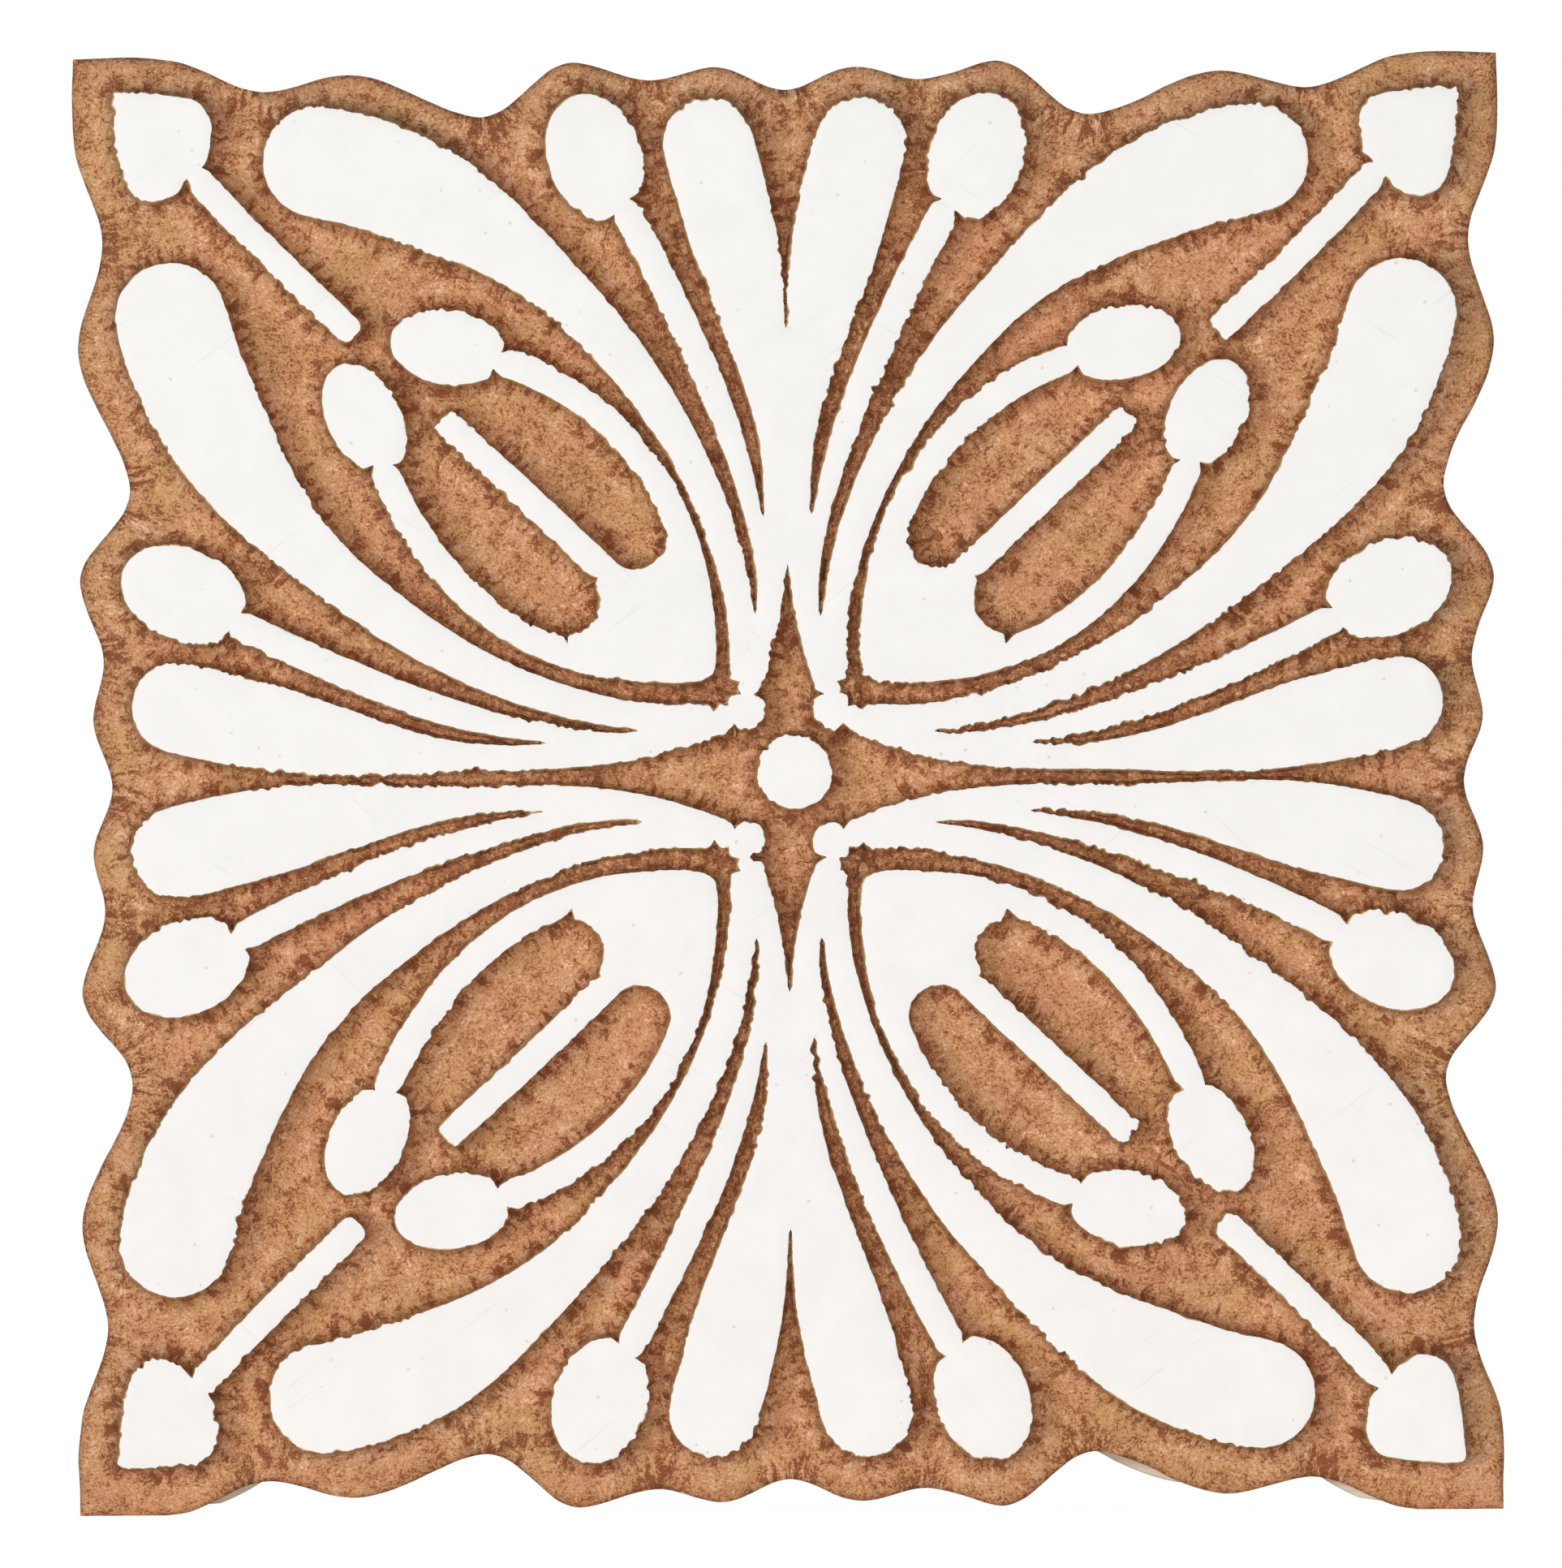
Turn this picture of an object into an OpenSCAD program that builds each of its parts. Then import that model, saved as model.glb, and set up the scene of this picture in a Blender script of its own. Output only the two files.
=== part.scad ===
// Wooden hand block for printing cloth. It stands on its lower edge, with the carved
// face towards -Y, the top of the pattern towards +Z and the handle behind, at +Y.
// The origin is the middle of the block's footprint.

/* [Block] */
// Width across the corners
block_w = 120; // [100:1:150]
// Height across the corners
block_h = 122.8; // [100:0.2:150]
// Thickness of the carved board, up to the top of its lands
face_t = 14; // [11:0.5:20]
// Thickness of the middle board
core_t = 10; // [8:0.5:16]
// Thickness of the back board
back_t = 10; // [8:0.5:16]
// How far the edges of the two backing boards stay back from the carved board's
backing_inset = 0.4; // [0.1:0.05:1]
// How far the saw left more wood on the backing boards at three places of the lower edge
saw_stray = 1.2; // [0.8:0.1:1.5]

/* [Tongues and grooves] */
// Width of a tongue
tongue_w = 8; // [5:0.5:12]
// Height of a tongue
tongue_h = 3; // [2:0.25:3.5]
// Distance between the middles of the two tongues of a pair
tongue_span = 64; // [40:1:80]
// How far the ends of a tongue stay back from the edges of its board
tongue_back = 0.5; // [0.2:0.1:2]
// Room left for glue round a tongue
glue_gap = 0.1; // [0.05:0.05:0.3]

/* [Carving] */
// Depth of the cut ground below the top of the lands
carve_depth = 4; // [2:0.5:6]
// Thickness of the white coat on the lands
coat_t = 0.3; // [0.2:0.05:0.6]
// How far above the middle of the block the pattern was drawn
pattern_up = 0.6; // [0:0.1:1]
// Narrowest cut that the knife leaves open
least_cut = 0.1; // [0.05:0.05:0.2]

/* [Palmettes] */
// Radius of the round end of a centre petal
centre_petal_r = 3.8; // [3:0.1:4]
// Radius of the round end of a side petal
side_petal_r = 4.6; // [3.4:0.1:4.8]
// Width of a centre petal where it springs from the star
centre_root_w = 2.3; // [1.8:0.1:2.5]
// Width of a side petal where it springs from the star
side_root_w = 2.5; // [2:0.1:2.8]
// Width of a side petal where it starts to swell
side_neck_w = 4.3; // [3:0.1:4.5]
// Width of a stamen's stem where it springs from the star
stamen_root_w = 1.3; // [1:0.1:1.5]
// Width of a stamen's stem
stamen_w = 2.5; // [1.6:0.1:2.6]
// Length of a stamen's head
stamen_head_l = 10.9; // [8:0.1:11]
// Width of a stamen's head
stamen_head_w = 7.9; // [5:0.1:8]
// Radius of the knob between two points of the star
knob_r = 1.7; // [1.3:0.1:1.8]

/* [Buds, corner arrows and dot] */
// Width of a bud's two stems
bud_stem_w = 2.4; // [1.6:0.1:2.5]
// Width of a bud's middle bar
bud_bar_w = 2.3; // [1.8:0.1:2.8]
// Length of a bud's two heads
bud_head_l = 9.9; // [8:0.1:10.2]
// Width of a bud's two heads
bud_head_w = 6.2; // [4.5:0.1:6.5]
// Radius of the round inner end of a bud's cell on the side of the flank
bud_flank_cell_r = 2.7; // [2.4:0.1:3]
// Radius of the round inner end of a bud's cell on the side of the upper or lower end
bud_end_cell_r = 2.7; // [2.4:0.1:3]
// How much wider a bud's cell becomes on its way out
bud_cell_flare = 1.8; // [1:0.1:2.4]
// Width of a corner arrow's stem
arrow_stem_w = 2.3; // [1.5:0.1:2.5]
// Radius of the two lobes of a corner arrow's head
arrow_lobe_r = 2.6; // [2:0.1:2.8]
// Radius of a corner arrow's tip
arrow_tip_r = 0.5; // [0.3:0.1:1]
// Radius of the dot in the middle of the star
dot_r = 3.1; // [2:0.1:3.3]
// How far to the right of the middle the dot was cut
dot_right = 0.5; // [0:0.1:0.6]
// How far above the middle the dot was cut
dot_up = 0.3; // [0:0.1:0.6]

/* [Handle] */
// Length along the block's width
handle_l = 84; // [76:1:100]
// Width of the handle
handle_w = 30; // [26:1:40]
// Height above the back board
handle_h = 28; // [26:1:36]
// Radius of the finger cove along each side
cove_r = 9; // [7:0.5:10]
// Depth of the finger coves
cove_d = 6.5; // [4:0.5:7.5]
// Height of the middle of the coves above the back board
cove_up = 12; // [10:0.5:14]
// Radius of the two long edges of the crown
crown_r = 8; // [4:0.5:9]
// Radius of the corners seen from behind
handle_corner_r = 12; // [6:0.5:12.5]
// How much lower the crown is at its ends than in its middle
crown_drop = 4; // [1:0.5:6]

/* [Handle screws] */
// Distance between the two screws
screw_span = 50; // [40:1:56]
// Diameter of the plain shank
screw_d = 4; // [3.5:0.25:5]
// Diameter of the part that bites into the boards
screw_root_d = 3; // [2.5:0.1:3.4]
// Diameter of the head
screw_head_d = 8; // [7:0.25:9]
// Depth of the heads below the crown
screw_sink = 1.5; // [1:0.25:3]
// How far the screws reach into the boards
screw_bite = 14; // [10:0.5:15]
// Length of the pointed tip
screw_tip_l = 4; // [3:0.5:6]
// Width of the driver slot
slot_w = 1.1; // [0.8:0.1:1.4]
// Depth of the driver slot
slot_d = 1.2; // [0.8:0.1:1.6]
// Room round the screws
screw_clear = 0.1; // [0.05:0.05:0.3]

/* [Hidden] */
$fn = 48;

// Steps along a petal or stem, along half a scallop, round a head and round the handle's arch
ribbon_steps = 12;
scallop_steps = 5;
head_fn = 28;
arch_fn = 200;

// How far shapes that make one solid reach into each other
overlap = 1;

// Depths along Y, from the front of the white coat to the crown of the handle
depth = coat_t + face_t + core_t + back_t + handle_h;
coat_y = -depth / 2;
land_y = coat_y + coat_t;
ground_y = land_y + carve_depth;
core_y = land_y + face_t;
back_y = core_y + core_t;
handle_y = back_y + back_t;
centre_z = block_h / 2;

// Size of the block that the points below were drawn for
drawn_w = 120;
drawn_h = 122.8;
function drawn(p) = [p[0] * block_w / drawn_w, p[1] * block_h / drawn_h];

// Half of one edge of the block, from its middle to a corner: notches and lobes in turn,
// each as its distance along the edge and its distance from the centre
flank_scallops = [[0, 57], [5.7, 58.6], [10.4, 57.7], [17.5, 59.6], [24.8, 55.4], [37, 59.7],
    [45.7, 57.6], [54.6, 60], [61.4, 60]];
end_scallops = [[0, 58.6], [5.9, 60.5], [11.4, 59.4], [18, 60.9], [25.4, 56.4], [36.8, 60],
    [44, 58.6], [52.6, 61.4], [60, 61.4]];

// Middles and turns of the places where the saw left more wood, and their length
saw_strays = [[-48.8, -60.4, 20], [29.6, -58, -21], [48.4, -60.4, -23]];
saw_stray_l = 10;

// One quarter of the pattern, from the centre to the upper right corner. Each line is a
// curve with its two ends and two handles.
// Half palmette along X
flank_centre_petal = [[5.2, 5.1], [17.4, -0.9], [35, 2.1], [51.4, 6.1]];
flank_side_petal = [[6.8, 4.8], [23.7, 3.8], [46.8, 18.7], [51.8, 38.9]];
flank_stamen_head = [50.7, 15.7];
flank_stamen = [[8, 3.8], [18.8, 1.2], [34.5, 6.5], flank_stamen_head];
flank_stamen_head_turn = 22;
// Half palmette along Z
end_centre_petal = [[3.5, 7.6], [-1.5, 20], [1.4, 36], [6.5, 53.3]];
end_side_petal = [[3.7, 8.6], [3, 27.8], [21.4, 49.1], [39.4, 52]];
end_stamen_head = [16.1, 52.3];
end_stamen = [[2.8, 9.5], [-0.7, 21.1], [8.6, 39.4], end_stamen_head];
end_stamen_head_turn = 71;
knob = [3.7, 5.6];
// Bud between the palmettes
bud_flank_head = [35.5, 30.4];
bud_flank_head_turn = 63;
bud_flank_stem = [[7.6, 9.2], [24.7, 7.6], [32.2, 19.9], bud_flank_head];
bud_end_head = [28.4, 36.4];
bud_end_head_turn = 10;
bud_end_stem = [[7.2, 9.4], [6.5, 23.2], [14.4, 33.6], bud_end_head];
bud_bar = [[14, 16.2], [19, 21], [24.4, 26.1], [29, 30.4]];
bud_root = [[7, 9], [19, 10.6], [15.6, 17.8], [9.2, 21.5]];
bud_flank_cell = [[18.3, 14.7], [19.7, 15.6], [21.8, 17.1], [23.8, 18.9]];
bud_end_cell = [[12.7, 20.2], [13.6, 21.8], [15.1, 23.7], [17, 25.8]];
// Arrow in the corner
arrow_lobes = [[50.9, 54.9], [51.3, 52.6], [53.2, 51.3]];
arrow_tip = [56.2, 57.3];
arrow_stem = [[36.3, 37.4], [41.2, 42], [46.7, 47.4], arrow_lobes[1]];

// Share of the way along a petal at which it starts to swell, and at which it is full
centre_petal_swell = [0.44, 0.9];
side_petal_swell = [0.55, 0.9];
stamen_swell = [0.15, 0.6];

function smooth(t) = let (s = min(max(t, 0), 1)) s * s * (3 - 2 * s);
function curve(p, t) =
    (1 - t) ^ 3 * p[0] + 3 * (1 - t) ^ 2 * t * p[1] + 3 * (1 - t) * t ^ 2 * p[2] + t ^ 3 * p[3];
function slope(p, t) =
    (1 - t) ^ 2 * (p[1] - p[0]) + 2 * (1 - t) * t * (p[2] - p[1]) + t ^ 2 * (p[3] - p[2]);
function turn(d) = atan2(d[1], d[0]);
function across(p, t) = let (d = slope(p, t)) [-d[1], d[0]] / norm(d);

// Mirrors a quarter into all four
module four_quarters() {
    for (x = [0, 1], y = [0, 1])
        mirror([x, 0]) mirror([0, y]) children();
}

// Mirrors a quarter to the left
module both_sides() {
    for (x = [0, 1])
        mirror([x, 0]) children();
}

// One clean outline from overlapping shapes, without cracks too thin to cut
module cleaned() {
    offset(delta = -least_cut / 2) offset(delta = least_cut / 2) children();
}

// Strip along a curve. It widens slowly from its root to its neck and swells from there to
// its full width. Its ends are round, or cut flat.
module ribbon(line, root_w, end_w, swell = [0, 1], neck_w = 0, flat_root = false, flat_end = false) {
    p = [for (q = line) drawn(q)];
    neck = max(root_w, neck_w);
    function width(t) = t < swell[0] ? root_w + (neck - root_w) * (t / swell[0]) ^ 2
        : neck + (end_w - neck) * smooth((t - swell[0]) / (swell[1] - swell[0]));
    function edge(t, side) = curve(p, t) + side * across(p, t) * width(t) / 2;
    function cap(t, start) = [for (i = [1:head_fn / 2 - 1])
        let (a = turn(slope(p, t)) + start - i * 360 / head_fn)
        curve(p, t) + width(t) / 2 * [cos(a), sin(a)]];
    polygon(concat(
        [for (i = [0:ribbon_steps]) edge(i / ribbon_steps, 1)], flat_end ? [] : cap(1, 90),
        [for (i = [ribbon_steps:-1:0]) edge(i / ribbon_steps, -1)], flat_root ? [] : cap(0, 270)));
}

module oval(middle, l, w, turn) {
    translate(drawn(middle)) rotate(turn) scale([l / 2, w / 2]) circle(1, $fn = head_fn);
}

module centre_petal(line) {
    ribbon(line, centre_root_w, 2 * centre_petal_r, centre_petal_swell);
}

module side_petal(line) {
    ribbon(line, side_root_w, 2 * side_petal_r, side_petal_swell, side_neck_w);
}

module stamen(line, head, head_turn) {
    ribbon(line, stamen_root_w, stamen_w, stamen_swell);
    oval(head, stamen_head_l, stamen_head_w, head_turn);
}

module quarter_palmettes() {
    centre_petal(flank_centre_petal);
    side_petal(flank_side_petal);
    stamen(flank_stamen, flank_stamen_head, flank_stamen_head_turn);
    centre_petal(end_centre_petal);
    side_petal(end_side_petal);
    stamen(end_stamen, end_stamen_head, end_stamen_head_turn);
    translate(drawn(knob)) circle(knob_r, $fn = head_fn);
}

module quarter_bud() {
    difference() {
        polygon([for (p = bud_root) drawn(p)]);
        ribbon(bud_flank_cell, 2 * bud_flank_cell_r, 2 * bud_flank_cell_r + bud_cell_flare);
        ribbon(bud_end_cell, 2 * bud_end_cell_r, 2 * bud_end_cell_r + bud_cell_flare);
    }
    ribbon(bud_flank_stem, bud_stem_w, bud_stem_w);
    ribbon(bud_end_stem, bud_stem_w, bud_stem_w);
    ribbon(bud_bar, bud_bar_w, bud_bar_w, flat_end = true);
    oval(bud_flank_head, bud_head_l, bud_head_w, bud_flank_head_turn);
    oval(bud_end_head, bud_head_l, bud_head_w, bud_end_head_turn);
}

module quarter_arrow() {
    ribbon(arrow_stem, arrow_stem_w, arrow_stem_w, flat_root = true);
    hull() {
        for (p = arrow_lobes)
            translate(drawn(p)) circle(arrow_lobe_r, $fn = head_fn);
        translate(drawn(arrow_tip)) circle(arrow_tip_r, $fn = head_fn);
    }
}

module upper_palmettes() { cleaned() both_sides() quarter_palmettes(); }
module lower_palmettes() { cleaned() mirror([0, 1]) both_sides() quarter_palmettes(); }
module buds() { cleaned() four_quarters() quarter_bud(); }
module corner_arrows() { cleaned() four_quarters() quarter_arrow(); }
module centre_dot() { translate([dot_right, dot_up]) circle(dot_r); }

// Scalloped edge of a quarter
function scallop(list) =
    [for (i = [0:len(list) - 2], k = [0:scallop_steps - 1])
        let (t = k / scallop_steps)
        [list[i][0] + (list[i + 1][0] - list[i][0]) * t,
            list[i][1] + (list[i + 1][1] - list[i][1]) * smooth(t)]];

module quarter_outline() {
    flank = [for (p = scallop(flank_scallops)) drawn([p[1], p[0]])];
    end = [for (p = scallop(end_scallops)) drawn(p)];
    polygon(concat([[0, 0]], flank, [[block_w / 2, block_h / 2]],
        [for (i = [len(end) - 1:-1:0]) end[i]]));
}

module face_outline() { cleaned() four_quarters() quarter_outline(); }

// The backing boards are a little smaller, but flush with the carved board's lower edge
module backing_outline() {
    cleaned() intersection() {
        union() {
            translate([0, -backing_inset]) offset(delta = -backing_inset) face_outline();
            for (s = saw_strays)
                oval([s[0], s[1]], saw_stray_l, 2 * saw_stray, s[2]);
        }
        square([block_w, block_h], center = true);
    }
}

// A pair of strips along X, or along Z when upright
module strips(w, upright) {
    rotate(upright ? 90 : 0)
        for (s = [-1, 1])
            translate([0, s * tongue_span / 2]) square([2 * block_h, w], center = true);
}

// A flat layer of the block that starts at y and goes back by t
module layer(y, t) {
    translate([0, y + t, centre_z]) rotate([90, 0, 0]) linear_extrude(t) children();
}

// Two tongues in front of the board that starts at y, and their grooves in the board before it
module tongues(y, upright) {
    layer(y - tongue_h, tongue_h + overlap)
        intersection() {
            offset(delta = -tongue_back) backing_outline();
            strips(tongue_w, upright);
        }
}

module grooves(y, upright) {
    layer(y - tongue_h - glue_gap, tongue_h + 2 * glue_gap)
        strips(tongue_w + 2 * glue_gap, upright);
}

// Places its children at both screws, with +Z of each pointing back out of the handle
module at_screws() {
    for (s = [-1, 1])
        translate([s * screw_span / 2, handle_y, centre_z]) rotate([-90, 0, 0]) children();
}

// Crown of the handle: an arch with this radius, and its height over the screws
arch_r = (handle_l / 2) ^ 2 / (2 * crown_drop) + crown_drop / 2;
arch_over_screws = handle_h - arch_r + sqrt(arch_r ^ 2 - (screw_span / 2) ^ 2);
screw_top = arch_over_screws - screw_sink;
screw_head_h = (screw_head_d - screw_d) / 2;

module screw_holes() {
    at_screws() {
        translate([0, 0, -screw_bite])
            cylinder(d = screw_root_d + 2 * screw_clear, h = screw_bite + overlap);
        cylinder(d = screw_d + 2 * screw_clear, h = screw_top);
        translate([0, 0, screw_top - screw_head_h])
            cylinder(d1 = screw_d + 2 * screw_clear, d2 = screw_head_d + 2 * screw_clear, h = screw_head_h);
        translate([0, 0, screw_top]) cylinder(d = screw_head_d + 2 * screw_clear, h = handle_h);
    }
}

module face_board() {
    color("#a97958") difference() {
        union() {
            layer(ground_y, face_t - carve_depth) face_outline();
            layer(land_y, carve_depth + overlap) translate([0, pattern_up]) {
                upper_palmettes();
                lower_palmettes();
                buds();
                corner_arrows();
                centre_dot();
            }
        }
        grooves(core_y, false);
    }
}

module core_board() {
    color("#d9bf94") difference() {
        union() {
            layer(core_y, core_t) backing_outline();
            tongues(core_y, false);
        }
        grooves(back_y, true);
        screw_holes();
    }
}

module back_board() {
    color("#cfae7e") difference() {
        union() {
            layer(back_y, back_t) backing_outline();
            tongues(back_y, true);
        }
        screw_holes();
    }
}

// Section of the handle: across in x, height above the back board in y
module handle_section() {
    difference() {
        union() {
            for (s = [-1, 1])
                translate([s * (handle_w / 2 - crown_r), handle_h - crown_r]) circle(crown_r);
            translate([-handle_w / 2 + crown_r, 0]) square([handle_w - 2 * crown_r, handle_h]);
            translate([-handle_w / 2, 0]) square([handle_w, handle_h - crown_r]);
        }
        for (s = [-1, 1])
            translate([s * (handle_w / 2 + cove_r - cove_d), cove_up]) circle(cove_r);
    }
}

module handle_plan() {
    inner_l = handle_l - 2 * handle_corner_r;
    inner_w = handle_w - 2 * handle_corner_r;
    square([inner_l, handle_w], center = true);
    square([handle_l, inner_w], center = true);
    for (x = [-1, 1], y = [-1, 1])
        translate([x * inner_l / 2, y * inner_w / 2]) circle(handle_corner_r);
}

module handle() {
    color("#8a5a3a") difference() {
        intersection() {
            translate([-handle_l / 2, handle_y, centre_z])
                rotate([0, 90, 0]) linear_extrude(handle_l) handle_section();
            layer(handle_y, handle_h) handle_plan();
            translate([0, handle_y + handle_h - arch_r, centre_z])
                cylinder(r = arch_r, h = handle_w, center = true, $fn = arch_fn);
        }
        screw_holes();
    }
}

module handle_screws() {
    color("#8d8f92") at_screws() difference() {
        rotate_extrude() polygon([
            [0, -screw_bite],
            [screw_root_d / 2, -screw_bite + screw_tip_l],
            [screw_root_d / 2, 0],
            [screw_d / 2, 0],
            [screw_d / 2, screw_top - screw_head_h],
            [screw_head_d / 2, screw_top],
            [0, screw_top]]);
        translate([0, 0, screw_top]) cube([2 * screw_head_d, slot_w, 2 * slot_d], center = true);
    }
}

module coat() {
    color("#f6f3ef") layer(coat_y, coat_t) translate([0, pattern_up]) children();
}
module coat_upper_palmettes() { coat() upper_palmettes(); }
module coat_lower_palmettes() { coat() lower_palmettes(); }
module coat_buds() { coat() buds(); }
module coat_corner_arrows() { coat() corner_arrows(); }
module coat_centre_dot() { coat() centre_dot(); }

face_board();
core_board();
back_board();
handle();
handle_screws();
coat_upper_palmettes();
coat_lower_palmettes();
coat_buds();
coat_corner_arrows();
coat_centre_dot();
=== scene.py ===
"""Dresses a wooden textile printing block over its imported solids, in metres, in their frame."""

import math

import bpy
import numpy as np
from bpy.props import FloatProperty, FloatVectorProperty, IntProperty, PointerProperty
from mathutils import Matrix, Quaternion, Vector, geometry, kdtree


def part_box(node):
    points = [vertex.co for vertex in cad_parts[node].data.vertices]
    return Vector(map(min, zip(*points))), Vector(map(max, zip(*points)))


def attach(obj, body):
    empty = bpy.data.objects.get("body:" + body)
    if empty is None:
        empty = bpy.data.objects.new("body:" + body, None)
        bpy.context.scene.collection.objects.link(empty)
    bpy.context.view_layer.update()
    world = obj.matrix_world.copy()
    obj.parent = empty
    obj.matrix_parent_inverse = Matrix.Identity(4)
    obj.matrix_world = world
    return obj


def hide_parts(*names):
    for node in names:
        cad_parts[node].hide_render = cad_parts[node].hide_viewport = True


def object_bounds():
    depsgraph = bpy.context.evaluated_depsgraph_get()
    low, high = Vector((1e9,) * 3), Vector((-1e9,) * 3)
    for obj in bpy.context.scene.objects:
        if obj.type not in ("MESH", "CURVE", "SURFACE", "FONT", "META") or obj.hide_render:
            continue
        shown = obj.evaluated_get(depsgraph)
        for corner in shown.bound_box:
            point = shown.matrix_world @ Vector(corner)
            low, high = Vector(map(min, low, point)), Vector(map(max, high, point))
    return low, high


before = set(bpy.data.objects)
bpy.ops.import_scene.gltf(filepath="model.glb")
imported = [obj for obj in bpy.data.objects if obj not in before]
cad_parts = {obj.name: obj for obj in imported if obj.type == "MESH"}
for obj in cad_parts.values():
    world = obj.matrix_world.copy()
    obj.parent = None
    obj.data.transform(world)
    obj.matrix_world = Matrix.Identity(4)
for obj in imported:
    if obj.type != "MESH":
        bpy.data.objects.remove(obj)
CAD_BOX = [list(corner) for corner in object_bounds()]

bl_info = {
    "name": "Textile Printing Block",
    "version": (1, 0, 0),
    "blender": (4, 5, 0),
    "location": "View3D > Sidebar > Printing Block",
    "description": "Carves, coats and finishes a wooden hand block for printing cloth",
    "category": "Object",
}

MM = 0.001

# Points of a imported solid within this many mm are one
MERGE = 0.001

# Depths along Y in mm, from the front of the white coat to the back of the carved board
COAT_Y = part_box("coat_centre_dot")[0].y / MM
LAND_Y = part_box("coat_centre_dot")[1].y / MM
CORE_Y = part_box("face_board")[1].y / MM
MIDDLE = (Vector(CAD_BOX[0]) + Vector(CAD_BOX[1])) / 2

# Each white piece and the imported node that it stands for
COATS = {
    "white_upper_palmettes": "coat_upper_palmettes",
    "white_lower_palmettes": "coat_lower_palmettes",
    "white_buds": "coat_buds",
    "white_corner_arrows": "coat_corner_arrows",
    "white_centre_dot": "coat_centre_dot",
}

# Added to the seed for the strays of the outer edge, of the ground and of the coat
EDGE_SEED = 20
GROUND_SEED = 40
COAT_SEED = 60

# Turn of a line that makes a corner, and the least turn of an outer corner that is worn
CORNER_TURN = math.radians(32)
WORN_TURN = math.radians(50)

# How the points beside a corner follow it inwards, by their place along the edge
CORNER_SHAPE = {-4: 0.06, -3: 0.2, -2: 0.45, -1: 0.72, 0: 1.0, 1: 0.72, 2: 0.45, 3: 0.2, 4: 0.06}

# Box in mm that holds every line, so that all of them drift alike
DRIFT_BOX = np.array([[-100.0, -100.0], [300.0, 300.0]])

# Short strays of the knife, as lengths in shares of the edge pitch, with their strengths
KNIFE_STRAYS = ((1, 0.6), (0.5, 0.8), (0.3, 0.5))

# Lengths in mm of careful stretches and of nicks along a cut edge, and how rare the nicks are
CARE_PITCH = 7.0
NICK_PITCH = 1.1
NICK_RARITY = 0.78

# Spacing of points on the outer edge and its wander, against those of the lands, and its pitch in mm
RIM_SPACING = 1.3
RIM_WANDER = 0.35
RIM_PITCH = 2.4

# Waves of the open ground, as lengths in mm with their strengths
GROUND_WAVES = ((3.4, 1.0), (1.5, 0.7), (0.7, 0.35))

# Distance in mm from a wall at which these waves start, and the distance over which they grow
WAVE_FROM = 0.2
WAVE_RISE = 1.2

# Distance in mm over which a notch of the outer edge is felt, and the bend that tears fibres fully
NOTCH_SPAN = 3.0
NOTCH_BEND = 3.0

# Reach in mm of the torn fibres from a notch, and their unevenness in mm
TORN_REACH = 5.0
TORN_WAVE = 0.4

# Distances in mm at which the width of a groove is felt, the room from which it is full depth,
# and the share of the depth that the narrowest one has
ROOM_STEPS = (0.25, 0.45, 0.7, 1.0, 1.4, 1.9)
FULL_ROOM = 1.2
LEAST_DEPTH = 0.35

# Rows of faces down the sides of the carved board, and their unevenness in mm
SIDE_ROWS = 5
SIDE_WANDER = 0.05

# Points nearer to a line than this, in mm, lie on it
ON_LINE = 1e-4

# Points set beside a line stay if they are at least this share of the distance from every line
CLEAR_SHARE = 0.86

# Places along one line, in mm, stay this far from those along another
LINE_GAP = 50.0

# Side of the lands, as x and z, away from the key lamp, where the cut ground beside them is darkest; the
# ground's colour uses it for painted light and shade
SHADE_SIDE = np.array([0.9, 0.35])

# Backing boards in mm: trim of the saw's strays, band along the edge whose points are merged,
# distance below which they are, and width of the broken edges
STRAY_TRIM = 0.8
EDGE_BAND = 1.0
EDGE_APART = 0.3
BOARD_BREAK = 0.2

# Handle and screws in mm: cells that round the handle, and broken edges of the screws
HANDLE_CELL = 0.55
SCREW_BREAK = 0.15

# Edges that turn more than this are broken
BREAK_TURN = math.radians(40)

# Colours of small marks, as they show on a screen
FLECK_GREY = (0.62, 0.6, 0.56)
RUST = (0.36, 0.26, 0.2)

# Lamps: name, place in m, width and height in m, and the setting for the power
LAMPS = (
    ("key lamp", (-0.55, -1.05, 0.02), (0.45, 0.25), "key_power"),
    ("fill lamp", (0.1, -2.5, 0.0), (1.2, 0.45), "fill_power"),
    ("back lamp", (0.7, 1.2, 0.8), (1.0, 1.0), "back_power"),
)

# Floor: side in m, grey, strength of the white that hides it, and share of that white
FLOOR_SIDE = 6
FLOOR_GREY = (0.9, 0.9, 0.9, 1)
FLOOR_GLOW = 1.12
FLOOR_GLOW_SHARE = 0.88


# Settings

def size(name, description, default, low=0.0, high=100.0):
    """A length in millimetres that a user may change."""
    return FloatProperty(name=name, description=description, default=default, min=low, max=high)


def colour(name, description, default):
    """A colour as it shows on a screen."""
    return FloatVectorProperty(
        name=name, description=description, default=default, subtype="COLOR_GAMMA", min=0, max=1)


def amount(name, description, default, subtype="NONE"):
    """A number of the stage that a user may change."""
    return FloatProperty(name=name, description=description, default=default, subtype=subtype)


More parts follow.
